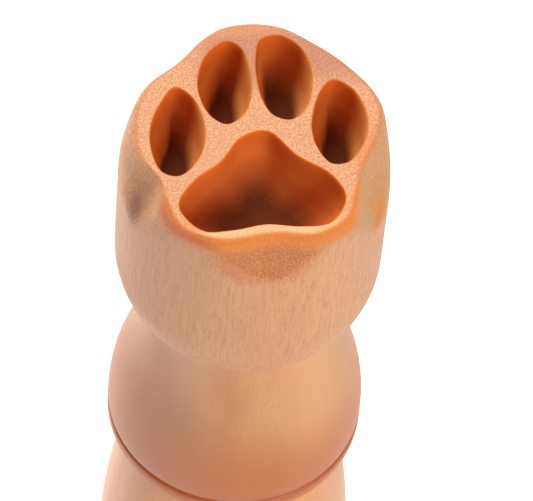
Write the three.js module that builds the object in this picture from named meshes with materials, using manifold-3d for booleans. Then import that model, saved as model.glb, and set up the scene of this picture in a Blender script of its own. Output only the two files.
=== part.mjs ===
// Hand stamp: a turned beech stamp with a paw print cut into its end face.
// Millimetres, +Z up the turning axis, origin in the middle of the flat butt, toes towards +Y.
import * as THREE from 'three';
import { mergeVertices } from 'three/addons/utils/BufferGeometryUtils.js';
import Module from 'manifold-3d';

// Heights of the three turned pieces, stacked on the dowel
const buttHeight = 27.5;
const collarHeight = 20.5;
const headHeight = 27;
const collarZ = buttHeight;
const headZ = collarZ + collarHeight;
const faceZ = headZ + headHeight;

// Round stock that the three pieces are turned from
const stockRadius = 12.5;

// Stamp head: straight barrel, round shoulder, neck
const headRadius = stockRadius;
const barrelHeight = 17.5;
const shoulderRadius = 11;
const neckRadius = 8;

// Grip collar: bell with a groove above its lower lip
const collarCut = 0.15;
const collarRadius = stockRadius - collarCut;
const collarNeck = 1;
const bellWaist = 3.8;
const bellDrop = 9.8;
const lipHeight = 1.7;
const lipRound = 0.7;
const grooveHalfWidth = 0.35;
const grooveDepth = 0.5;

// Butt: flare that widens down to a rounded foot
const buttRadius = stockRadius;
const buttTopRadius = 6.8;
const footRound = 2;

// Dowel glued through the three pieces
const dowelRadius = 4;
const dowelLength = 48;
const dowelZ = 10.5;
const dowelEndGap = 0.5;
const glueGap = 0.15;

// Carving: every wall leans by half the angle of the cutter
const cutterAngle = 42;
const pocketDepth = 6.3;
const reliefDepth = 8;
const overcut = 1;
const cornerRatio = 0.94;
const draft = Math.tan(THREE.MathUtils.degToRad(cutterAngle / 2));

// The paw is drawn in millimetres, then scaled to leave this wall outside its farthest pocket
const rimWall = 1;

// Toe pockets from left to right, each anticlockwise from its top
const toeCorners = [
  [
    [-6.9, 5.9], [-8.4, 4.3], [-9.5, 2.1], [-9.8, -0.5], [-9.1, -3.1],
    [-7.6, -3.7], [-5.8, -2.3], [-4.8, -0.2], [-4.7, 2.2], [-5.5, 4.8],
  ],
  [
    [-1.6, 10.6], [-3.4, 9.5], [-4.6, 7.2], [-4.8, 5.0], [-4.0, 2.5],
    [-2.6, 1.5], [-0.9, 2.5], [0.1, 4.9], [0.2, 7.2], [-0.4, 9.8],
  ],
  [
    [3.2, 10.85], [1.5, 10.5], [0.8, 8.4], [0.65, 6.2], [0.9, 3.8],
    [1.7, 2.1], [3.2, 1.5], [4.7, 2.5], [5.6, 4.6], [5.8, 7.0], [4.9, 9.6],
  ],
  [
    [7.5, 5.5], [6.3, 4.4], [5.3, 2.1], [4.95, 0.2], [5.2, -1.7],
    [6.2, -3.5], [7.7, -3.6], [9.1, -2.3], [10.1, -0.2], [10.1, 2.0], [9.1, 4.5],
  ],
];
const toeSegments = 40;

// Pad pocket, anticlockwise from its top
const padCorners = [
  [0.9, 0.45], [-1.55, -0.05], [-3.7, -2.5], [-6.4, -4.4], [-8.0, -6.9], [-6.2, -9.7],
  [-3.4, -9.9], [-0.4, -9.55], [2.8, -10.05], [5.4, -9.85], [7.1, -7.3], [6.1, -4.75], [3.3, -2.45],
];
const padSegments = 80;

// Edge of the raised land round the paw, anticlockwise from its top
const landCorners = [
  [1.0, 12.6], [-1.4, 12.2], [-3.4, 10.8], [-5.7, 8.6], [-8.9, 6.2], [-10.5, 2.7], [-10.55, -1.0],
  [-9.2, -4.25], [-9.1, -6.9], [-7.8, -9.6], [-4.45, -10.95], [0.1, -10.65], [4.15, -11.05], [7.15, -9.4],
  [8.15, -6.7], [8.9, -4.05], [10.8, 0], [11.05, 3.05], [8.5, 7.2], [5.2, 10.3], [3.1, 11.95],
];
const landSegments = 100;

// Facets round the axis and along each curve of a turned outline
const turnSegments = 60;
const curveSteps = 4;

const wasm = await Module();
wasm.setup();

// Joins equal corners and drops the empty facets on the axis
function welded(geometry) {
  geometry.deleteAttribute('normal');
  geometry.deleteAttribute('uv');
  const joined = mergeVertices(geometry, 1e-4);
  const old = joined.index.array;
  const kept = [];
  for (let i = 0; i < old.length; i += 3) {
    const [a, b, c] = old.slice(i, i + 3);
    if (a !== b && b !== c && c !== a) kept.push(a, b, c);
  }
  joined.setIndex(kept);
  return joined;
}

function solid(geometry) {
  const clean = welded(geometry);
  return new wasm.Manifold(new wasm.Mesh({
    numProp: 3,
    vertProperties: new Float32Array(clean.attributes.position.array),
    triVerts: new Uint32Array(clean.index.array),
  }));
}

function surface(manifold) {
  const { vertProperties, triVerts } = manifold.getMesh();
  const geometry = new THREE.BufferGeometry();
  geometry.setAttribute('position', new THREE.BufferAttribute(vertProperties, 3));
  geometry.setIndex(new THREE.BufferAttribute(triVerts, 1));
  geometry.computeVertexNormals();
  return geometry;
}

// Outlines of turned pieces are drawn as radius and height, from the axis round to the axis
function turned(outline) {
  const points = outline.getPoints(curveSteps);
  return solid(new THREE.LatheGeometry(points, turnSegments).rotateX(Math.PI / 2));
}

function rod(radius, bottom, top) {
  const length = top - bottom;
  const geometry = new THREE.CylinderGeometry(radius, radius, length, turnSegments);
  return geometry.rotateX(Math.PI / 2).translate(0, 0, (bottom + top) / 2);
}

function bore(bottom, top) {
  return solid(rod(dowelRadius + glueGap, bottom, top));
}

// Closed outline in the face through its corners
function freeOutline(corners, count) {
  const points = corners.map(([x, y]) => new THREE.Vector3(x, y, 0));
  return new THREE.CatmullRomCurve3(points, true).getSpacedPoints(count).slice(0, -1);
}

// Way inwards from every point of an outline, square to it
function inwardWays(outline) {
  return outline.map((_, i) => {
    const before = outline.at(i - 1);
    const after = outline[(i + 1) % outline.length];
    return new THREE.Vector2(before.y - after.y, after.x - before.x).normalize();
  });
}

// Longest step along a way before the step meets the same step from another point
function reach(outline, i, way) {
  let longest = Infinity;
  for (const other of outline) {
    const dx = other.x - outline[i].x;
    const dy = other.y - outline[i].y;
    const along = dx * way.x + dy * way.y;
    if (along > 1e-6) longest = Math.min(longest, (dx * dx + dy * dy) / (2 * along));
  }
  return cornerRatio * longest;
}

// Outline moved inwards by up to a distance, sinking with the slope of the cutter
function insetRing(outline, distance) {
  const ways = inwardWays(outline);
  return outline.map((point, i) => {
    const step = Math.min(distance, reach(outline, i, ways[i]));
    const way = ways[i].multiplyScalar(step);
    return new THREE.Vector3(point.x + way.x, point.y + way.y, faceZ - step / draft);
  });
}

// Outline moved outwards by a distance, at a height
function outsetRing(outline, distance, z) {
  const ways = inwardWays(outline);
  return outline.map((point, i) => {
    const outward = ways[i].negate();
    const way = outward.multiplyScalar(Math.min(distance, reach(outline, i, outward)));
    return new THREE.Vector3(point.x + way.x, point.y + way.y, z);
  });
}

// Body between an upper and a lower ring of the same number of points
function lofted(upper, lower) {
  const count = upper.length;
  const index = [];
  for (let i = 0; i < count; i += 1) {
    const next = (i + 1) % count;
    index.push(i, count + i, count + next, i, count + next, next);
  }
  for (const [a, b, c] of THREE.ShapeUtils.triangulateShape(upper, [])) index.push(a, b, c);
  for (const [a, b, c] of THREE.ShapeUtils.triangulateShape(lower, [])) {
    index.push(count + a, count + c, count + b);
  }
  const geometry = new THREE.BufferGeometry().setFromPoints([...upper, ...lower]);
  return solid(geometry.setIndex(index));
}

function pocket(outline) {
  const rim = outsetRing(outline, overcut * draft, faceZ + overcut);
  return lofted(rim, insetRing(outline, pocketDepth * draft));
}

// Land inside an outline, widening downwards
function land(outline) {
  const top = outsetRing(outline, -overcut * draft, faceZ + overcut);
  const foot = outsetRing(outline, reliefDepth * draft, faceZ - reliefDepth);
  return lofted(top, foot);
}

// Paw, scaled to the face
const drawnToes = toeCorners.map((corners) => freeOutline(corners, toeSegments));
const drawnPockets = [...drawnToes, freeOutline(padCorners, padSegments)];
const drawnReach = Math.max(...drawnPockets.flat().map(({ x, y }) => Math.hypot(x, y)));
const pawScale = (headRadius - rimWall) / drawnReach;
const scaled = (outline) => outline.map((point) => point.clone().multiplyScalar(pawScale));

// Stamp head
const shoulderEnd = Math.acos(1 - (headRadius - neckRadius) / shoulderRadius);
const headOutline = new THREE.Path()
  .moveTo(0, headZ)
  .lineTo(neckRadius, headZ);
headOutline.absarc(
  headRadius - shoulderRadius, faceZ - barrelHeight,
  shoulderRadius, -shoulderEnd, 0, false,
);
headOutline.lineTo(headRadius, faceZ).lineTo(0, faceZ);
const raised = land(scaled(freeOutline(landCorners, landSegments)));
const relief = solid(rod(headRadius + overcut, faceZ - reliefDepth, faceZ + overcut)).subtract(raised);
const headBlank = turned(headOutline).subtract(relief);
const head = drawnPockets.map(scaled).map(pocket).reduce((body, tool) => body.subtract(tool), headBlank)
  .subtract(bore(headZ - overcut, dowelZ + dowelLength + dowelEndGap));

// Grip collar
const lipTop = collarZ + lipHeight;
const grooveTop = lipTop + 2 * grooveHalfWidth;
const bellTop = headZ - collarNeck;
const collarOutline = new THREE.Path()
  .moveTo(0, collarZ)
  .lineTo(collarRadius - lipRound, collarZ);
collarOutline.absarc(collarRadius - lipRound, collarZ + lipRound, lipRound, -Math.PI / 2, 0, false);
collarOutline.lineTo(collarRadius, lipTop)
  .lineTo(collarRadius - grooveDepth, lipTop + grooveHalfWidth)
  .lineTo(collarRadius, grooveTop);
collarOutline.bezierCurveTo(
  collarRadius, grooveTop + bellDrop,
  neckRadius, bellTop - bellWaist,
  neckRadius, bellTop,
);
collarOutline.lineTo(neckRadius, headZ).lineTo(0, headZ);
const collar = turned(collarOutline).subtract(bore(collarZ - overcut, headZ + overcut));

// Butt
const flareWidth = buttRadius - buttTopRadius;
const buttOutline = new THREE.Path()
  .moveTo(0, 0)
  .lineTo(buttRadius - footRound, 0);
buttOutline.absarc(buttRadius - footRound, footRound, footRound, -Math.PI / 2, 0, false);
buttOutline.absellipse(buttTopRadius, footRound, flareWidth, collarZ - footRound, 0, Math.PI / 2, false);
buttOutline.lineTo(0, collarZ);
const butt = turned(buttOutline).subtract(bore(dowelZ, collarZ + overcut));

// Assembly
const stamp = new THREE.Group();
stamp.name = 'hand_stamp';

function place(name, geometry, color, roughness) {
  const mesh = new THREE.Mesh(geometry, new THREE.MeshStandardMaterial({ color, roughness }));
  mesh.name = name;
  stamp.add(mesh);
}

place('stamp_head', surface(head), 0xd9ab86, 0.75);
place('grip_collar', surface(collar), 0xd39f78, 0.5);
place('butt', surface(butt), 0xd6a582, 0.5);
place('spine_dowel', welded(rod(dowelRadius, dowelZ, dowelZ + dowelLength)), 0xe3c79d, 0.8);

export default stamp;
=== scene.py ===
# %% [markdown]
# # A turned wooden hand stamp
#
# The stamp is a beech turning that stands on its butt with the print face up. A paw is cut
# into the end grain of its head. This lesson first sets the camera, then turns the three
# wooden pieces on a "lathe", carves the head, and last mixes the wood finishes and the light.
#
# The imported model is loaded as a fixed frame, so every piece below goes where it says.

# %% Load the frame
import math

import bmesh
import bpy
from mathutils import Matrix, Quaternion, Vector
from mathutils.kdtree import KDTree


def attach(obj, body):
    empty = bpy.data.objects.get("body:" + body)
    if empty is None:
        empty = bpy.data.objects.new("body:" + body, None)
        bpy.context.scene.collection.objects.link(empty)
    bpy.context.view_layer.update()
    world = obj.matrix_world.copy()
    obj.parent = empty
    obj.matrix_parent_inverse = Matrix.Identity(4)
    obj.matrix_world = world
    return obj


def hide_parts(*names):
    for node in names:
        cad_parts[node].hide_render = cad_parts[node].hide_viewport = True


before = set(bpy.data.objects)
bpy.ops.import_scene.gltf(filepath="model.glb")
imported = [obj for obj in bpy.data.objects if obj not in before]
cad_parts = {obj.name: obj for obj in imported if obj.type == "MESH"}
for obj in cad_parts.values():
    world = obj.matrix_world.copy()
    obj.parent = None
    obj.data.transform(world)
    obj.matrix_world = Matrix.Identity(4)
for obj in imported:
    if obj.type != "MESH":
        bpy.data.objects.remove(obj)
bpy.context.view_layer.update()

MM = 0.001
print("frame nodes:", sorted(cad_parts))

# %% [markdown]
# ## Camera
#
# A product photo like this is taken from above with a long lens, so the stamp hardly tapers.
# The camera is placed by a point to stand on, a point to look at and a small roll. A track
# quaternion turns it to the aim first, and the roll is added about its own viewing axis.

# %% Place the camera
camera_spot = Vector((-51.95, -257.64, 464.65)) * MM
camera_aim = Vector((1.74, -0.36, 56.0)) * MM
camera_roll = math.radians(5.6)

bpy.ops.object.select_all(action="DESELECT")
bpy.ops.object.camera_add(location=camera_spot)
camera = bpy.context.object
aimed = (camera_aim - camera_spot).to_track_quat("-Z", "Y")
camera.rotation_euler = (aimed @ Quaternion((0, 0, 1), camera_roll)).to_euler()
camera.data.sensor_width = 36
camera.data.lens = 351.1
camera.data.clip_start = 0.01
bpy.context.scene.camera = camera
print("camera stands", round((camera_aim - camera_spot).length, 3), "m from its aim")

# %% [markdown]
# ## Sizes
#
# Three pieces are stacked on a hidden dowel: the butt on the table, the collar, and the head.
# These are their main sizes in millimetres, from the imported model.

# %% Main sizes
collar_z = 27.5
head_z = 48.0
face_z = 75.0
stock_radius = 12.5
neck_radius = 8.0
bore_radius = 4.15
print("head is", face_z - head_z, "mm tall")

# %% [markdown]
# ## A lathe
#
# A turned piece is an outline spun about the axis. One vertex is left of a small plane and is
# extruded from point to point along the outline, and the spin operator sweeps it round. The
# same pencil draws the carving's outlines later.

# %% Pencil and lathe
TURN_STEPS = 160
WELD = 0.0005 * MM


def draw(name, points):
    """Draw a chain of edges through points given in millimetres, and stay in edit mode."""
    bpy.ops.object.select_all(action="DESELECT")
    bpy.ops.mesh.primitive_plane_add(size=MM)
    piece = bpy.context.object
    piece.name = piece.data.name = name
    bpy.ops.object.mode_set(mode="EDIT")
    bpy.ops.mesh.select_all(action="SELECT")
    bpy.ops.mesh.merge(type="CENTER")
    places = [Vector(point) * MM for point in points]
    bpy.ops.transform.translate(value=places[0])
    for here, there in zip(places, places[1:]):
        bpy.ops.mesh.extrude_vertices_move(TRANSFORM_OT_translate={"value": there - here})
    return piece


def turn(name, outline, steps=TURN_STEPS):
    """Spin an outline of radius and height points, in millimetres, about the Z axis."""
    piece = draw(name, [(radius, 0, height) for radius, height in outline])
    bpy.ops.mesh.select_all(action="SELECT")
    bpy.ops.mesh.spin(steps=steps, angle=math.tau, center=(0, 0, 0), axis=(0, 0, 1))
    bpy.ops.mesh.select_all(action="SELECT")
    bpy.ops.mesh.remove_doubles(threshold=WELD)
    bpy.ops.mesh.normals_make_consistent(inside=False)
    bpy.ops.object.mode_set(mode="OBJECT")
    print(name, "turned with", len(piece.data.polygons), "faces")
    return piece


def arc(middle, radius, start, end, count):
    """Points along an arc, with angles in degrees from the outward direction."""
    turns = [math.radians(start + (end - start) * i / count) for i in range(count + 1)]
    return [(middle[0] + radius * math.cos(t), middle[1] + radius * math.sin(t)) for t in turns]


def rise(radius, bottom, top, count):
    """Points straight up a cylinder, without the first."""
    return [(radius, bottom + (top - bottom) * (i + 1) / count) for i in range(count)]


# %% [markdown]
# ## Outlines of the carving
#
# The toes, the pad and the edge of the raised land are free curves through a few corners. The
# curve is the kind that passes through every corner without looping, and its points are
# spread evenly so that the walls below have even facets.

# %% Free outlines through corners
CURVE_STEPS = 40


def through(corners, count):
    """Evenly spread points on a smooth closed curve through corners, in millimetres."""
    corners = [Vector(corner) for corner in corners]
    fine = []
    for i, start in enumerate(corners):
        before, end = corners[i - 1], corners[(i + 1) % len(corners)]
        after = corners[(i + 2) % len(corners)]
        t0, t1, t2 = [math.sqrt((b - a).length) for a, b in
                      ((before, start), (start, end), (end, after))]
        leave = ((start - before) / t0 - (end - before) / (t0 + t1) + (end - start) / t1) * t1
        arrive = ((end - start) / t1 - (after - start) / (t1 + t2) + (after - end) / t2) * t1
        for k in range(CURVE_STEPS):
            t = k / CURVE_STEPS
            fine.append(start * (2 * t**3 - 3 * t**2 + 1) + leave * (t**3 - 2 * t**2 + t)
                        + end * (3 * t**2 - 2 * t**3) + arrive * (t**3 - t**2))
    lengths = [(b - a).length for a, b in zip(fine, fine[1:] + fine[:1])]
    spread, walked, step = [], 0.0, sum(lengths) / count
    for point, ahead, length in zip(fine, fine[1:] + fine[:1], lengths):
        while len(spread) < count and walked + length > step * len(spread):
            spread.append(point.lerp(ahead, (step * len(spread) - walked) / length))
        walked += length
    return spread


toe_corners = [
    [(-6.9, 5.9), (-8.4, 4.3), (-9.5, 2.1), (-9.8, -0.5), (-9.1, -3.1),
     (-7.6, -3.7), (-5.8, -2.3), (-4.8, -0.2), (-4.7, 2.2), (-5.5, 4.8)],
    [(-1.6, 10.6), (-3.4, 9.5), (-4.6, 7.2), (-4.8, 5.0), (-4.0, 2.5),
     (-2.6, 1.5), (-0.9, 2.5), (0.1, 4.9), (0.2, 7.2), (-0.4, 9.8)],
    [(3.2, 10.85), (1.5, 10.5), (0.8, 8.4), (0.65, 6.2), (0.9, 3.8),
     (1.7, 2.1), (3.2, 1.5), (4.7, 2.5), (5.6, 4.6), (5.8, 7.0), (4.9, 9.6)],
    [(7.5, 5.5), (6.3, 4.4), (5.3, 2.1), (4.95, 0.2), (5.2, -1.7),
     (6.2, -3.5), (7.7, -3.6), (9.1, -2.3), (10.1, -0.2), (10.1, 2.0), (9.1, 4.5)],
]
pad_corners = [
    (0.9, 0.45), (-1.55, -0.05), (-3.7, -2.5), (-6.4, -4.4), (-8.0, -6.9), (-6.2, -9.7),
    (-3.4, -9.9), (-0.4, -9.55), (2.8, -10.05), (5.4, -9.85), (7.1, -7.3), (6.1, -4.75),
    (3.3, -2.45),
]
land_corners = [
    (1.0, 12.6), (-1.4, 12.2), (-3.4, 10.8), (-5.7, 8.6), (-8.9, 6.2), (-10.5, 2.7),
    (-10.55, -1.0), (-9.2, -4.25), (-9.1, -6.9), (-7.8, -9.6), (-4.45, -10.95), (0.1, -10.65),
    (4.15, -11.05), (7.15, -9.4), (8.15, -6.7), (8.9, -4.05), (10.8, 0), (11.05, 3.05),
    (8.5, 7.2), (5.2, 10.3), (3.1, 11.95),
]
toe_points, pad_points, land_points = 90, 150, 2400
toe_outlines = [through(corners, toe_points) for corners in toe_corners]
pad_outline = through(pad_corners, pad_points)
land_outline = through(land_corners, land_points)
print("toes:", len(toe_outlines), "pad points:", len(pad_outline))

# %% [markdown]
# ## Head blank
#
# The head is a straight barrel with a round shoulder that draws in to a neck. Its outline
# starts in the blind hole for the dowel. The upper barrel has many rings, because the slopes
# round the paw are filed into them next.

# %% Turn the head blank
barrel_bottom = 57.5
slope_bottom = 66.0
shoulder_radius = 11.0
bore_top = 59.0
edge_round = 0.35
head_steps = 320
shoulder_middle = (stock_radius - shoulder_radius, barrel_bottom)
shoulder_end = math.degrees(math.acos(1 - (stock_radius - neck_radius) / shoulder_radius))
head_outline = [(0, bore_top), (bore_radius, bore_top), (bore_radius, head_z)]
head_outline += arc(shoulder_middle, shoulder_radius, -shoulder_end, 0, 24)
head_outline += rise(stock_radius, barrel_bottom, slope_bottom, 14)
head_outline += rise(stock_radius, slope_bottom, face_z - edge_round, 54)
head_outline += arc((stock_radius - edge_round, face_z - edge_round), edge_round, 0, 90, 6)[1:]
head_outline += [(0, face_z)]
head = turn("turned_head", head_outline, head_steps)


def select_in(piece, kind, wanted):
    """In edit mode, select only the faces or edges of a piece that pass a test."""
    bpy.ops.mesh.select_all(action="DESELECT")
    bpy.ops.mesh.select_mode(type="FACE" if kind == "faces" else "EDGE")
    mesh = bmesh.from_edit_mesh(piece.data)
    for element in getattr(mesh, kind):
        element.select_set(wanted(element))
    bmesh.update_edit_mesh(piece.data)


def one_cap(piece, height):
    """Join the fan of faces that the spin leaves at a height into one flat face."""
    bpy.ops.object.mode_set(mode="EDIT")
    select_in(piece, "faces", lambda face: all(
        abs(v.co.z - height * MM) < WELD for v in face.verts))
    bpy.ops.mesh.dissolve_faces()
    bpy.ops.mesh.select_mode(type="VERT")
    bpy.ops.object.mode_set(mode="OBJECT")


one_cap(head, face_z)
print("head blank is left with", len(head.data.polygons), "faces")

# %% [markdown]
# ## Slopes round the paw
#
# Outside the land a tapered cutter has taken the wood away, so the slope leans by half the
# cutter's angle and the land's rim is rounded. To know where the slope stands at a depth, the
# distance from the land's edge is needed. A k-d tree over the edge's points gives it quickly.

# %% Slope from the edge of the land
wall_lean = 21
search_range = (6.0, 20.0)
halvings = 18
draft = math.tan(math.radians(wall_lean))
edge_tree = KDTree(len(land_outline))
for i, point in enumerate(land_outline):
    edge_tree.insert(point.to_3d(), i)
edge_tree.balance()


def rim_reach(radius):
    """How far a rounded rim spreads over the face beyond the sharp one."""
    return radius * math.tan(math.radians(90 - wall_lean) / 2)


def slope_reach(depth, rounding, bulge):
    """How far the slope stands outside the land's edge at a depth."""
    swell = bulge * depth * math.exp(1 - depth)
    level = 1 - depth / rounding
    if level > math.sin(math.radians(wall_lean)):
        return rounding * math.sin(math.acos(level)) - rim_reach(rounding) + swell
    return depth * draft + swell


def outside_land(x, y):
    """Distance of a point outside the edge of the land, negative inside."""
    near, i, distance = edge_tree.find((x, y, 0))
    along = land_outline[(i + 1) % len(land_outline)] - land_outline[i - 1]
    return math.copysign(distance, (x - near.x) * along.y - (y - near.y) * along.x)


def slope_radius(angle, reach):
    """Radius at which the slope stands at an angle, found by halving."""
    low, high = search_range
    for _ in range(halvings):
        middle = (low + high) / 2
        if outside_land(middle * math.cos(angle), middle * math.sin(angle)) < reach:
            low = middle
        else:
            high = middle
    return low


front_slope = slope_radius(math.radians(-90), slope_reach(depth=2, rounding=0.9, bulge=0))
print("slope 2 mm down in front:", round(front_slope, 2))

# %% [markdown]
# ## File the slopes
#
# Every vertex of the upper barrel is pushed inwards to the slope. A boolean would leave the
# same crisp crease all round, but the real crease is crisp only in front on the left and is
# sanded away at the sides, so barrel and slope are blended by an amount that changes with the
# angle. At the two waists of the paw the cutter has dug a scoop.

# %% File the slopes into the blank
# angle in degrees, width of the blend in millimetres
blends = [(-180, 0.7), (-168, 0.3), (-158, 0.4), (-147, 0.8), (-128, 0.4), (-112, 0.12),
          (-100, 0.12), (-88, 0.3), (-55, 0.4), (-38, 0.8), (-28, 0.4), (-10, 0.7), (180, 0.7)]
# angle in degrees, radius of the land's rounded rim in millimetres
roundings = [(-180, 0.4), (-162, 0.5), (-145, 0.9), (-38, 0.9), (-22, 0.5), (180, 0.4)]
# angle in degrees, bulge of the slope in millimetres
bulges = [(-180, 0.42), (-172, 0.3), (-160, 0), (-40, 0), (-20, 0.2), (0, 0.4), (180, 0.42)]
# angle in degrees, depth in millimetres
scoops = [(-163, 0.34), (-33, 0.35)]
scoop_half_angle = 11
scoop_middle = 3.2
scoop_half_height = 3.0


def at_angle(stops, degrees):
    """Value at an angle, between the nearest two stops."""
    for (start, first), (end, second) in zip(stops, stops[1:]):
        if degrees <= end:
            return first + (second - first) * (degrees - start) / (end - start)
    return stops[-1][1]


def soft_min(first, second, softness):
    """Smaller of two values, with a round blend where they are close."""
    near = max(softness - abs(first - second), 0) / softness
    return min(first, second) - near**2 * softness / 4


def scooped(degrees, depth):
    """Depth of the scoops at an angle and a depth below the face."""
    down = max(1 - ((depth - scoop_middle) / scoop_half_height)**2, 0)
    return sum(deep * down * max(1 - ((degrees - middle) / scoop_half_angle)**2, 0)**2
               for middle, deep in scoops)


for vertex in head.data.vertices:
    radius, depth = vertex.co.to_2d().length / MM, face_z - vertex.co.z / MM
    if depth > face_z - slope_bottom or radius < neck_radius:
        continue
    angle = math.atan2(vertex.co.y, vertex.co.x)
    degrees = math.degrees(angle)
    reach = slope_reach(max(depth, 0), at_angle(roundings, degrees), at_angle(bulges, degrees))
    slope = slope_radius(angle, reach) - scooped(degrees, depth)
    filed = soft_min(radius, slope, at_angle(blends, degrees)) / radius
    vertex.co.x *= filed
    vertex.co.y *= filed
print("filed", sum(v.co.z > slope_bottom * MM for v in head.data.vertices), "points")

# %% [markdown]
# ## Pocket cutters
#
# The pad and the toes are bowls, cut with a round-nosed cutter, and handling has rounded their
# rims. A cutter is modelled from its outline down. The outline is filled, inset round the arc
# of the rim, and then extruded down again and again, each time drawn in towards the deepest
# point: little at first, so that the wall is steep, and more and more towards the floor.

# %% Rim, bowl and cutter
overcut = 1.0
lift = 0.01
pocket_round = 0.16
bowl_depth = 6.1
floor_angle = 86
pad_fullness, toe_fullness = 1.5, 2.0
pad_deepest = Vector((-0.2, -5.4, face_z))
toe_deepest = Vector((-0.6, -0.5, face_z))  # from the toe's middle


def rim_steps(radius, count=4):
    """Steps (inwards, down) round a rim, from the flat face to the leaning wall."""
    angles = [math.radians((90 - wall_lean) * i / count) for i in range(count + 1)]
    places = [(radius * math.sin(a), radius * (1 - math.cos(a))) for a in angles]
    return [(b[0] - a[0], b[1] - a[1]) for a, b in zip(places, places[1:])]


def bowl_steps(fullness, count=14):
    """Steps (share left, down) from a rim to a round floor; a full bowl has steep walls."""
    angles = [math.radians(floor_angle * i / count) for i in range(count + 1)]
    places = [(math.cos(a)**(1 / fullness), bowl_depth * math.sin(a)) for a in angles]
    return [(b[0] / a[0], b[1] - a[1]) for a, b in zip(places, places[1:])]


def moved(outline, distance):
    """An anticlockwise outline moved outwards, or inwards if the distance is negative."""
    ways = [ahead - behind for ahead, behind in
            zip(outline[1:] + outline[:1], outline[-1:] + outline[:-1])]
    return [point + Vector((way.y, -way.x)).normalized() * distance
            for point, way in zip(outline, ways)]


def make_cutter(name, outline, deepest, bowl):
    """Cutter that starts just above the face, rounds the rim and narrows to a bowl."""
    wide = moved(outline, rim_reach(pocket_round))
    cutter = draw(name, [(point.x, point.y, face_z + lift) for point in wide])
    bpy.ops.mesh.select_all(action="SELECT")
    bpy.ops.mesh.edge_face_add()
    bpy.ops.object.mode_set(mode="OBJECT")
    looks_up = cutter.data.polygons[0].normal.z > 0
    bpy.ops.object.mode_set(mode="EDIT")
    if not looks_up:
        bpy.ops.mesh.flip_normals()
    for inwards, down in rim_steps(pocket_round):
        bpy.ops.mesh.inset(thickness=inwards * MM, depth=-down * MM, use_even_offset=True)
    for share, down in bowl:
        bpy.ops.mesh.extrude_region_move(TRANSFORM_OT_translate={"value": (0, 0, -down * MM)})
        bpy.ops.transform.resize(value=(share, share, 1), center_override=deepest * MM)
    bpy.ops.mesh.poke()
    bpy.ops.mesh.select_all(action="DESELECT")
    bpy.ops.mesh.select_non_manifold(
        use_wire=False, use_boundary=True, use_multi_face=False,
        use_non_contiguous=False, use_verts=False)
    bpy.ops.mesh.extrude_edges_move(TRANSFORM_OT_translate={"value": (0, 0, overcut * MM)})
    bpy.ops.mesh.edge_face_add()
    bpy.ops.mesh.select_all(action="SELECT")
    bpy.ops.mesh.normals_make_consistent(inside=False)
    bpy.ops.object.mode_set(mode="OBJECT")
    return cutter


pad_cutter = make_cutter("pad_pocket", pad_outline, pad_deepest, bowl_steps(pad_fullness))
pocket_cutters = [pad_cutter]
for outline in toe_outlines:
    xs, ys = [point.x for point in outline], [point.y for point in outline]
    deepest = Vector((min(xs) + max(xs), min(ys) + max(ys), 0)) / 2 + toe_deepest
    pocket_cutters.append(make_cutter("toe_pocket", outline, deepest, bowl_steps(toe_fullness)))
print("cutters:", [len(cutter.data.polygons) for cutter in pocket_cutters], "faces")

# %% [markdown]
# ## Carve the pockets
#
# Each cutter is taken from the head with a boolean modifier. A cutter carries the finish that
# its cut leaves, and the boolean hands it on to the new faces, so the pocket walls can be told
# from the rest afterwards. The finishes are mixed later.

# %% Take the cutters from the head
bare_wood = bpy.data.materials.new("bare_beech")
pad_wood = bpy.data.materials.new("pad_burnish_with_shade")
toe_wood = bpy.data.materials.new("toe_scorch_with_shade")
head.data.materials.append(bare_wood)


def carve(blank, cutter):
    """Subtract a cutter from a blank and delete the cutter."""
    bpy.ops.object.select_all(action="DESELECT")
    bpy.context.view_layer.objects.active = blank
    blank.select_set(True)
    cut = blank.modifiers.new("cut", "BOOLEAN")
    cut.object = cutter
    cut.operation = "DIFFERENCE"
    cut.solver = "MANIFOLD"
    cut.material_mode = "TRANSFER"
    bpy.ops.object.modifier_apply(modifier=cut.name)
    bpy.data.objects.remove(cutter)


for cutter in pocket_cutters:
    cutter.data.materials.append(pad_wood if cutter == pad_cutter else toe_wood)
    carve(head, cutter)
print("carved head has", len(head.data.polygons), "faces,",
      [material.name for material in head.data.materials])

# %% [markdown]
# ## Clean the carved mesh
#
# A boolean leaves some very short edges. They are merged, and faces that have no area left are
# dissolved.

# %% Merge short edges
short_edge = 0.015 * MM
thin_face = 0.005 * MM
bpy.ops.object.mode_set(mode="EDIT")
bpy.ops.mesh.select_all(action="SELECT")
bpy.ops.mesh.remove_doubles(threshold=short_edge)
bpy.ops.mesh.dissolve_degenerate(threshold=thin_face)
bpy.ops.object.mode_set(mode="OBJECT")
print("clean head has", len(head.data.polygons), "faces")

# %% [markdown]
# ## Grip collar
#
# A bell that swells from the neck down to a lip. A wire held against the spinning wood has
# scorched a fine groove above the lip, and its brown band is partly painted shade in the groove.
# The bell is one Bezier curve, and the groove is a cosine dip, so both come from a few sizes.

# %% Turn the collar
collar_radius = 12.35
lip_round = 0.7
lip_top = 29.2
groove_half = 0.42
groove_depth = 0.5
groove_points = 12
bell_bottom = lip_top + 2 * groove_half
bell_top = 47.0
pull_low, pull_high = 9.8, 3.8
seam_chamfer = 0.12


def bezier(start, leave, arrive, end, count):
    """Points along a cubic Bezier curve."""
    points = []
    for i in range(count + 1):
        t = i / count
        weights = ((1 - t)**3, 3 * t * (1 - t)**2, 3 * t**2 * (1 - t), t**3)
        points.append(tuple(sum(w * p[axis] for w, p in zip(weights, (start, leave, arrive, end)))
                            for axis in (0, 1)))
    return points


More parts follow.
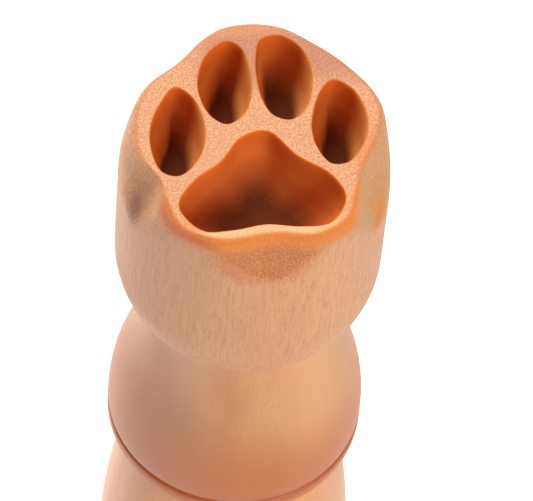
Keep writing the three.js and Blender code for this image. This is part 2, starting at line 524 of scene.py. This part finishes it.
groove = []
for i in range(1, groove_points):
    share = i / groove_points
    dip = groove_depth * (0.5 - 0.5 * math.cos(math.tau * share))
    groove.append((collar_radius - dip, lip_top + 2 * groove_half * share))
collar_outline = [(bore_radius, collar_z)]
collar_outline += arc((collar_radius - lip_round, collar_z + lip_round), lip_round, -90, 0, 8)
collar_outline += [(collar_radius, lip_top)] + groove
collar_outline += bezier(
    (collar_radius, bell_bottom), (collar_radius, bell_bottom + pull_low),
    (neck_radius, bell_top - pull_high), (neck_radius, bell_top), 40)
collar_outline += [(neck_radius, head_z - seam_chamfer), (neck_radius - seam_chamfer, head_z),
                   (bore_radius, head_z), (bore_radius, collar_z)]
collar = turn("bell_collar", collar_outline)

# %% [markdown]
# ## Butt
#
# The foot of the stamp flares from under the collar in a quarter oval to a rounded edge. It is
# drawn from its blind dowel hole round to the middle of the flat base.

# %% Turn the butt
butt_top_radius = 6.8
foot_round = 2.0
hole_bottom = 10.5
flare_points = 36
butt_outline = [(0, hole_bottom), (bore_radius, hole_bottom), (bore_radius, collar_z)]
for i in range(flare_points + 1):
    angle = math.radians(90 - 90 * i / flare_points)
    butt_outline.append((butt_top_radius + (stock_radius - butt_top_radius) * math.cos(angle),
                         foot_round + (collar_z - foot_round) * math.sin(angle)))
butt_outline += arc((stock_radius - foot_round, foot_round), foot_round, 0, -90, 10)[1:]
butt_outline += [(0, 0)]
butt = turn("flared_butt", butt_outline)
one_cap(butt, 0)

# %% [markdown]
# ## Dowel
#
# The glued dowel inside is never seen on a whole stamp. It is still a real one: flutes let the
# glue out as it is driven in, and both ends are chamfered. Every sixth edge of a cylinder is
# pulled inwards for the flutes.

# %% Make the dowel
dowel_radius = 4.0
dowel_low, dowel_high = 10.5, 58.5
dowel_sides = 72
flute_depth = 0.25
flute_angle = 30
end_chamfer = 0.5


def is_flute(edge):
    """Whether an edge runs along the dowel and is one of those that become flutes."""
    low, high = edge.verts
    degrees = round(math.degrees(math.atan2(low.co.y, low.co.x)))
    return abs(low.co.z - high.co.z) > MM and degrees % flute_angle == 0


bpy.ops.object.select_all(action="DESELECT")
bpy.ops.mesh.primitive_cylinder_add(
    vertices=dowel_sides, radius=dowel_radius * MM, depth=(dowel_high - dowel_low) * MM,
    location=(0, 0, (dowel_low + dowel_high) / 2 * MM))
dowel = bpy.context.object
dowel.name = dowel.data.name = "glue_dowel"
bpy.ops.object.transform_apply(location=True)
bpy.ops.object.mode_set(mode="EDIT")
select_in(dowel, "edges", is_flute)
flute_share = 1 - flute_depth / dowel_radius
bpy.ops.transform.resize(value=(flute_share, flute_share, 1), center_override=(0, 0, 0))
select_in(dowel, "edges", lambda edge: abs(edge.verts[0].co.z - edge.verts[1].co.z) < WELD)
bpy.ops.mesh.bevel(offset=end_chamfer * MM, segments=1, affect="EDGES")
bpy.ops.mesh.select_mode(type="VERT")
bpy.ops.object.mode_set(mode="OBJECT")
print("dowel has", len(dowel.data.polygons), "faces")

# %% [markdown]
# ## Hand the pieces to the frame
#
# Each piece rides on the stamp's only body and stands for its CAD node.
# Curved faces are shaded smooth, while edges sharper than the angle stay crisp.

# %% Ride, replace and shade
crisp_angle = math.radians(32)
collar_wood = bpy.data.materials.new("oiled_collar")
butt_wood = bpy.data.materials.new("oiled_butt")
dowel_wood = bpy.data.materials.new("bare_dowel")
collar.data.materials.append(collar_wood)
butt.data.materials.append(butt_wood)
dowel.data.materials.append(dowel_wood)
for piece, node, slot in ((head, "stamp_head", "head_wood"),
                          (collar, "grip_collar", "collar_wood"),
                          (butt, "butt", "butt_wood"),
                          (dowel, "spine_dowel", "dowel_wood")):
    bpy.ops.object.select_all(action="DESELECT")
    bpy.context.view_layer.objects.active = piece
    piece.select_set(True)
    bpy.ops.object.shade_smooth_by_angle(angle=crisp_angle)
    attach(piece, "root")
    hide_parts(node)
    print(piece.name, "stands for", node)

# %% [markdown]
# ## Wood figure
#
# Beech is made of long vessels and short rays. Seen from the side they are fine lines and
# flecks along the grain, and on end grain the same vessels are dots. A noise that is
# stretched along Z gives both with one texture, as in solid wood. A plain noise gives the
# crumbly speckle where a cutter has torn the fibres. The group below is placed in every
# finish, and puts out only values that change over the surface.

# %% Node helpers and the figure group


def add_node(tree, kind, inputs=None, **settings):
    """Add a shader node, set its settings, and set or link each named input."""
    made = tree.nodes.new("ShaderNode" + kind)
    for name, value in settings.items():
        setattr(made, name, value)
    for name, value in (inputs or {}).items():
        if isinstance(value, bpy.types.NodeSocket):
            tree.links.new(value, made.inputs[name])
        else:
            made.inputs[name].default_value = value
    return made


def reckon(tree, operation, *values):
    """Result of a Math node on sockets and numbers."""
    return add_node(tree, "Math", dict(enumerate(values)), operation=operation).outputs[0]


def in_millimetres(tree, place):
    """A place in metres turned into millimetres."""
    made = add_node(tree, "VectorMath", {0: place, "Scale": 1 / MM}, operation="SCALE")
    return made.outputs[0]


def between(tree, value, low, high):
    """A value mapped smoothly so that low becomes 0 and high becomes 1."""
    made = add_node(tree, "MapRange", {"Value": value, "From Min": low, "From Max": high},
                    interpolation_type="SMOOTHSTEP")
    return made.outputs["Result"]


def stretched_noise(tree, place, stretch, scale, detail):
    """Noise whose features are longer along Z, from a place in millimetres."""
    long = add_node(tree, "VectorMath", {0: place, 1: (1, 1, stretch)}, operation="MULTIPLY")
    made = add_node(tree, "TexNoise", {
        "Vector": long.outputs[0], "Scale": scale, "Detail": detail, "Roughness": 0.6})
    return made.outputs["Fac"]


figure = bpy.data.node_groups.new("beech_figure", "ShaderNodeTree")
figure.interface.new_socket("Place", in_out="INPUT", socket_type="NodeSocketVector")
figure_in = figure.nodes.new("NodeGroupInput")
figure_out = figure.nodes.new("NodeGroupOutput")
place_mm = in_millimetres(figure, figure_in.outputs["Place"])
for name, stretch, scale, detail, low, high in (
        ("Tone", 0.2, 0.16, 2, 0.3, 0.7),
        ("Fibre", 0.06, 4.5, 3, 0.25, 0.75),
        ("Fleck", 0.2, 3.2, 2, 0.5, 0.72),
        ("Speckle", 1.0, 5.2, 6, 0.28, 0.72)):
    figure.interface.new_socket(name, in_out="OUTPUT", socket_type="NodeSocketFloat")
    noise = stretched_noise(figure, place_mm, stretch, scale, detail)
    figure.links.new(between(figure, noise, low, high), figure_out.inputs[name])
print("figure group has", len(figure.nodes), "nodes")

# %% [markdown]
# ## Finishes
#
# Every finish starts with the same few nodes: Object coordinates, the figure group and a
# Principled shader. Colours are written as they look on a screen and turned to linear light.

# %% Start of a finish


def tint(red, green, blue):
    """A screen colour as linear light."""
    def linear(value):
        share = value / 255
        return share / 12.92 if share <= 0.04045 else ((share + 0.055) / 1.055)**2.4
    return (linear(red), linear(green), linear(blue), 1)


def start_finish(material, roughness):
    """Nodes that every wood finish shares: shader, place in millimetres and figure."""
    material.use_nodes = True
    tree = material.node_tree
    shader = tree.nodes["Principled BSDF"]
    shader.inputs["Roughness"].default_value = roughness
    place = add_node(tree, "TexCoord").outputs["Object"]
    grain = add_node(tree, "Group", node_tree=figure)
    tree.links.new(place, grain.inputs["Place"])
    return tree, shader, in_millimetres(tree, place), grain.outputs


def mix(tree, factor, first, second):
    """Mix two colours by a factor. Inputs 6 and 7 and output 2 are the node's colours."""
    made = add_node(tree, "Mix", {0: factor, 6: first, 7: second}, data_type="RGBA")
    return made.outputs[2]


def wash(tree, colour, mask, amount, other):
    """Lay a colour over another by a share of a mask."""
    return mix(tree, reckon(tree, "MULTIPLY", mask, amount), colour, other)


def near_spot(tree, place_mm, grain, middle, size, core):
    """Ragged mask round a spot: 1 in the core of an oval of half sizes, 0 outside the oval."""
    off = add_node(tree, "VectorMath", {0: place_mm, 1: middle}, operation="SUBTRACT")
    shares = add_node(tree, "VectorMath", {0: off.outputs[0], 1: size}, operation="DIVIDE")
    far = add_node(tree, "VectorMath", {0: shares.outputs[0]}, operation="LENGTH")
    ragged = reckon(tree, "MULTIPLY_ADD", grain["Speckle"], 0.25, far.outputs["Value"])
    return between(tree, ragged, 1.1, core)


def finish(tree, shader, colour, height, bump):
    """Link a colour, and a height as bump of so many millimetres, to the shader."""
    tree.links.new(colour, shader.inputs["Base Color"])
    dent = add_node(tree, "Bump", {"Height": height, "Strength": 1.0, "Distance": bump * MM})
    tree.links.new(dent.outputs["Normal"], shader.inputs["Normal"])


# %% [markdown]
# ## Bare beech of the head
#
# The barrel is sanded but bare: tan with fine dark lines along the grain. Its end grain is
# rougher, pinker and speckled, and so are the slopes; on the right the slopes are washed paler,
# which is painted light. The far side of the face is darker, which is painted shade, and its back
# edge and front strip are lighter, which is painted light. At its right edge and its front left
# corner it is rubbed orange. The normal's Z tells face, slope and barrel apart, and changes
# softly where the wood is rounded.

# %% Colours of barrel, slope and face
tree, shader, place_mm, grain = start_finish(bare_wood, 0.5)
x_mm, y_mm, z_mm = add_node(tree, "SeparateXYZ", {0: place_mm}).outputs
depth = reckon(tree, "SUBTRACT", face_z, z_mm)
normal = add_node(tree, "NewGeometry").outputs["Normal"]
upward = add_node(tree, "SeparateXYZ", {0: normal}).outputs["Z"]
face_part = between(tree, upward, 0.55, 0.9)
slope_part = between(tree, upward, 0.06, 0.28)

wood = mix(tree, grain["Fibre"], tint(208, 140, 90), tint(232, 166, 112))
wood = wash(tree, wood, grain["Speckle"], 0.38, tint(248, 188, 134))
wood = wash(tree, wood, grain["Tone"], 0.4, tint(222, 152, 104))
wood = wash(tree, wood, grain["Fleck"], 0.26, tint(152, 94, 54))
cut = mix(tree, grain["Speckle"], tint(194, 114, 56), tint(246, 180, 114))
# The right slopes are washed paler: painted light on the lit side.
right = between(tree, x_mm, 4, 9)
cut = wash(tree, cut, right, 0.35, tint(255, 190, 116))
cut_weight = reckon(tree, "MULTIPLY_ADD", right, 0.35, 0.5)
wood = wash(tree, wood, slope_part, cut_weight, cut)
end = mix(tree, grain["Speckle"], tint(218, 130, 82), tint(254, 198, 148))
end = wash(tree, end, grain["Fleck"], 0.3, tint(182, 106, 66))
# The far side of the face is darkened: painted shade.
painted_far_shade = mix(tree, grain["Speckle"], tint(178, 108, 80), tint(212, 142, 110))
far_side_shade = reckon(tree, "MULTIPLY", between(tree, y_mm, 3.5, 7.5), between(tree, x_mm, -6, -2.5))
end = wash(tree, end, far_side_shade, 0.75, painted_far_shade)
# The back edge is lighter: painted light.
back_edge_light = between(tree, y_mm, 10.4, 11.6)
end = wash(tree, end, back_edge_light, 0.45, tint(246, 160, 100))
# The front strip is lighter: painted light.
front_strip_light = between(tree, y_mm, -8.5, -10.3)
end = wash(tree, end, front_strip_light, 0.6, tint(255, 208, 150))
for middle, size in (((9.8, -3.5, face_z), (2.4, 5.5, 3.0)),
                     ((-7.6, -9.6, face_z), (2.4, 1.9, 1.5))):
    rubbed = near_spot(tree, place_mm, grain, middle, size, 0.3)
    end = wash(tree, end, rubbed, 0.5, tint(240, 128, 50))
wood = mix(tree, face_part, wood, end)
print("barrel, slope and face mixed")

# %% [markdown]
# ## Burnished band, burns and painted shade
#
# The cutter rubbed hardest at the rim in front: a bright orange band runs along it. On the left
# the band is darker, which is painted shade on that side of the corner. Below the band the slope
# is torn and granular. The left scoop is painted brown, partly painted shade of the hollow and
# partly scorch, and in the right scoop the cutter burned the wood orange. Each mark is a mask
# laid over the wood.

# %% Colours of the band, the burns and the painted shade
ragged = reckon(tree, "MULTIPLY_ADD", grain["Speckle"], 0.5, depth)
front = between(tree, y_mm, -5.0, -6.6)
band = reckon(tree, "MULTIPLY", between(tree, depth, 0.0, 0.12), between(tree, ragged, 2.3, 1.0))
orange = mix(tree, grain["Speckle"], tint(250, 132, 42), tint(255, 160, 70))
band = reckon(tree, "MULTIPLY", band, front)
wood = wash(tree, wood, band, 1.0, orange)
# On the left the band is darker: painted shade of the corner.
left_band_shade = reckon(tree, "MULTIPLY", band, between(tree, x_mm, -4, -7))
wood = wash(tree, wood, left_band_shade, 0.8, tint(206, 102, 36))
line = reckon(tree, "MULTIPLY", between(tree, depth, 0.05, 0.2), between(tree, depth, 0.7, 0.25))
wood = wash(tree, wood, line, 0.5, tint(226, 122, 52))

torn = mix(tree, grain["Speckle"], tint(196, 98, 40), tint(244, 154, 90))
bib = near_spot(tree, place_mm, grain, (-0.9, -12.0, 72.5), (6.8, 3.2, 3.9), 0.6)
bib = reckon(tree, "MULTIPLY", bib, between(tree, ragged, 1.1, 2.1))
wood = wash(tree, wood, bib, 0.85, torn)
# First two spots: painted shade of the left scoop, partly scorch; last two: scorch on the right.
for middle, size, core, amount, scorch_and_shade_tint in (
        ((-11.5, -3.6, 71.2), (1.1, 1.5, 4.2), 0.4, 0.72, tint(118, 60, 32)),
        ((-11.0, -4.2, 71.2), (2.2, 2.8, 3.8), 0.4, 0.25, tint(160, 86, 44)),
        ((-11.8, 0.3, 72.6), (1.5, 3.0, 2.2), 0.4, 0.35, tint(196, 110, 52)),
        ((10.6, -4.6, 70.2), (2.6, 4.2, 3.6), 0.3, 0.35, tint(224, 136, 54)),
        ((10.8, -5.6, 68.9), (2.4, 3.4, 1.7), 0.2, 1.0, tint(238, 138, 0))):
    scorch_and_shade = near_spot(tree, place_mm, grain, middle, size, core)
    wood = wash(tree, wood, scorch_and_shade, amount, scorch_and_shade_tint)

rough_part = reckon(tree, "MAXIMUM", slope_part, face_part)
lines = reckon(tree, "MULTIPLY_ADD", grain["Fleck"], -0.5, grain["Fibre"])
lines = reckon(tree, "MULTIPLY", reckon(tree, "ADD", lines, grain["Speckle"]), 0.4)
height = add_node(tree, "Mix", {0: rough_part, 2: lines, 3: grain["Speckle"]}).outputs[0]
finish(tree, shader, wood, height, 0.08)
print("bare beech has", len(tree.nodes), "nodes")

# %% [markdown]
# ## Pocket walls
#
# The cutter burnishes the pocket walls. They are smoother than the face, a deep orange below
# the rim that gets redder and darker with depth, until the floors are brown; the darkening is
# partly scorch and partly painted shade of the deep recess. The toes are a little darker than the
# pad. Their right walls are paler, partly fuzz where the cutter left the wood and partly painted
# light, and low on their left walls a paler orange is painted light. In the pad there is only a
# trace of both.

# %% Mix the pocket finishes


def ramp(tree, value, stops):
    """Colour ramp with stops of position and colour."""
    made = add_node(tree, "ValToRGB", {0: value})
    while len(made.color_ramp.elements) < len(stops):
        made.color_ramp.elements.new(0.5)
    for element, (position, colour) in zip(made.color_ramp.elements, stops):
        element.position = position
        element.color = colour
    return made.outputs["Color"]


pocket_depth = 6.0
exit_and_lit_side = (-0.85, 0.45, 0.2)
for material, fuzz_and_light_share, stops in (
        (pad_wood, 0.05, [(0.0, tint(236, 126, 54)), (0.06, tint(220, 108, 40)),
                          (0.25, tint(207, 106, 44)), (0.5, tint(216, 115, 51)),
                          (0.8, tint(190, 98, 46)), (1.0, tint(102, 49, 23))]),
        (toe_wood, 1.0, [(0.0, tint(222, 116, 50)), (0.06, tint(212, 104, 38)),
                         (0.25, tint(202, 100, 36)), (0.5, tint(202, 107, 48)),
                         (0.8, tint(172, 90, 43)), (1.0, tint(88, 42, 19))])):
    tree, shader, place_mm, grain = start_finish(material, 0.6)
    shader.inputs["Specular IOR Level"].default_value = 0.02
    z_mm = add_node(tree, "SeparateXYZ", {0: place_mm}).outputs["Z"]
    depth = reckon(tree, "DIVIDE", reckon(tree, "SUBTRACT", face_z, z_mm), pocket_depth)
    streak = reckon(tree, "MULTIPLY_ADD", grain["Fibre"], 0.04, 0.98)
    # The ramp darkens with depth: partly scorch, partly painted shade of the deep recess.
    burnish_and_shade = ramp(tree, reckon(tree, "MULTIPLY", depth, streak), stops)
    normal = add_node(tree, "NewGeometry").outputs["Normal"]
    # Walls facing the exit side get paler: partly fuzz, partly painted light.
    facing = add_node(tree, "VectorMath", {0: normal, 1: exit_and_lit_side}, operation="DOT_PRODUCT")
    fuzz_and_light = reckon(tree, "MULTIPLY", between(tree, facing.outputs["Value"], 0.5, 0.95),
                  between(tree, depth, 1.1, 0.75))
    burnish_and_shade = wash(tree, burnish_and_shade, fuzz_and_light, fuzz_and_light_share, tint(255, 186, 104))
    # Low left walls facing right get a paler orange: painted light.
    rightward = add_node(tree, "SeparateXYZ", {0: normal}).outputs["X"]
    painted_light_left_walls = reckon(tree, "MULTIPLY", between(tree, rightward, 0.2, 1.0),
                     between(tree, depth, 0.35, 0.9))
    burnish_and_shade = wash(tree, burnish_and_shade, painted_light_left_walls, fuzz_and_light_share, tint(255, 158, 74))
    finish(tree, shader, burnish_and_shade, grain["Fibre"], 0.012)
    print(material.name, "has", len(tree.nodes), "nodes")

# %% [markdown]
# ## Oiled collar, butt and bare dowel
#
# The grip is sanded finer than the head and oiled, so its flecks are faint, its colour is
# deeper and it has a soft gloss. The collar's right side is washed lighter, which is painted
# light, and its left side is rosier, pale near the head and darker lower down, which is painted
# shade. It darkens towards its lip. A brown band is mixed in by height round the groove, partly
# scorch from a hot wire and partly painted shade in the groove.

# %% Mix the oiled finishes


def oiled_wood(tree, grain, dark, light):
    """Colour of sanded and oiled beech between two tones, with faint flecks."""
    colour = mix(tree, grain["Tone"], dark, light)
    colour = wash(tree, colour, grain["Fibre"], 0.25, light)
    return wash(tree, colour, grain["Fleck"], 0.15, tint(166, 100, 60))


tree, shader, place_mm, grain = start_finish(collar_wood, 0.44)
shader.inputs["Specular IOR Level"].default_value = 0.4
oiled = oiled_wood(tree, grain, tint(206, 138, 90), tint(222, 160, 108))
places = add_node(tree, "SeparateXYZ", {0: place_mm}).outputs
x_mm, z_mm = places["X"], places["Z"]
# Right side washed lighter: painted light.
oiled = wash(tree, oiled, between(tree, x_mm, 1, 7), 0.7, tint(246, 186, 132))
# Left side: painted shade, pale near the head and darker lower down.
left_shade = mix(tree, between(tree, z_mm, 46, 37), tint(244, 192, 160), tint(178, 132, 108))
oiled = wash(tree, oiled, between(tree, x_mm, -2, -7), 0.6, left_shade)
oiled = wash(tree, oiled, between(tree, z_mm, 43, 32), 0.9, tint(200, 110, 52))
# Brown band round the groove: partly scorch, partly painted shade in the groove.
off_groove = reckon(tree, "ABSOLUTE", reckon(tree, "SUBTRACT", z_mm, lip_top + groove_half))
oiled = wash(tree, oiled, between(tree, off_groove, 1.2, 0.3), 0.85, tint(186, 92, 38))
finish(tree, shader, oiled, grain["Fibre"], 0.008)

tree, shader, place_mm, grain = start_finish(butt_wood, 0.38)
oiled = oiled_wood(tree, grain, tint(226, 140, 84), tint(240, 164, 106))
finish(tree, shader, oiled, grain["Fibre"], 0.008)

tree, shader, place_mm, grain = start_finish(dowel_wood, 0.7)
pale = mix(tree, grain["Fibre"], tint(222, 190, 142), tint(238, 214, 174))
pale = wash(tree, pale, grain["Fleck"], 0.3, tint(186, 146, 98))
finish(tree, shader, pale, grain["Fibre"], 0.03)
print("oiled finishes mixed")

# %% [markdown]
# ## Floor
#
# A plain white sheet. It is lit so strongly in the photo that no shadow shows. The camera and
# the gloss on the wood see it nearly at full white, and brighter to the left of the stamp,
# while the wood above it gets the softer light of an ordinary sheet.

# %% Lay the floor
bpy.ops.object.select_all(action="DESELECT")
bpy.ops.mesh.primitive_plane_add(size=4)
floor = bpy.context.object
floor.name = "floor"
floor_paper = bpy.data.materials.new("white_paper")
floor.data.materials.append(floor_paper)
floor_paper.use_nodes = True
tree = floor_paper.node_tree
shader = tree.nodes["Principled BSDF"]
shader.inputs["Base Color"].default_value = (0.45, 0.45, 0.45, 1)
shader.inputs["Roughness"].default_value = 0.9
shader.inputs["Emission Color"].default_value = (1, 1, 1, 1)
ways = add_node(tree, "LightPath").outputs
across = add_node(tree, "SeparateXYZ", {0: add_node(tree, "TexCoord").outputs["Object"]})
gloss = reckon(tree, "MULTIPLY_ADD", between(tree, across.outputs["X"], 0.01, -0.05), 1.1, 0.8)
gloss = reckon(tree, "MULTIPLY", gloss, ways["Is Glossy Ray"])
seen = reckon(tree, "ADD", ways["Is Camera Ray"], gloss)
tree.links.new(seen, shader.inputs["Emission Strength"])
print("floor is", round(floor.dimensions.x, 1), "m wide")

# %% [markdown]
# ## Light
#
# Three soft boxes, as the shading of the barrel and the collar in the photo tells. One hangs
# over the stamp, a little behind it and to the left, so that the head shades the collar. One
# stands low in front, to the right, and one low behind, to the left. The surroundings look
# white in the gloss and behind the stamp.

# %% Set the light
light_aim = Vector((0, 0, 0.06))
light_distance = 0.65
for name, way, size, power in (("top_box", (-0.1, 0.42, 0.9), 0.3, 3.7),
                               ("front_box", (0.4, -0.78, 0.47), 0.4, 3.5),
                               ("back_box", (-0.68, 0.58, 0.45), 0.3, 1.5)):
    spot = light_aim + Vector(way).normalized() * light_distance
    bpy.ops.object.light_add(type="AREA", location=spot)
    box = bpy.context.object
    box.name = name
    box.rotation_euler = (light_aim - spot).to_track_quat("-Z", "Y").to_euler()
    box.data.size = size
    box.data.energy = power
    print(name, "at", [round(value, 2) for value in spot])

room = bpy.data.worlds.new("white_room")
bpy.context.scene.world = room
room.use_nodes = True
tree = room.node_tree
ways = add_node(tree, "LightPath")
sheet = tree.nodes["Background"]
sheet.inputs["Color"].default_value = (1, 1, 1, 1)
strength = add_node(tree, "MapRange", {
    "Value": ways.outputs["Is Diffuse Ray"], "To Min": 1.0, "To Max": 0.05})
tree.links.new(strength.outputs["Result"], sheet.inputs["Strength"])
bpy.context.scene.view_settings.view_transform = "Standard"
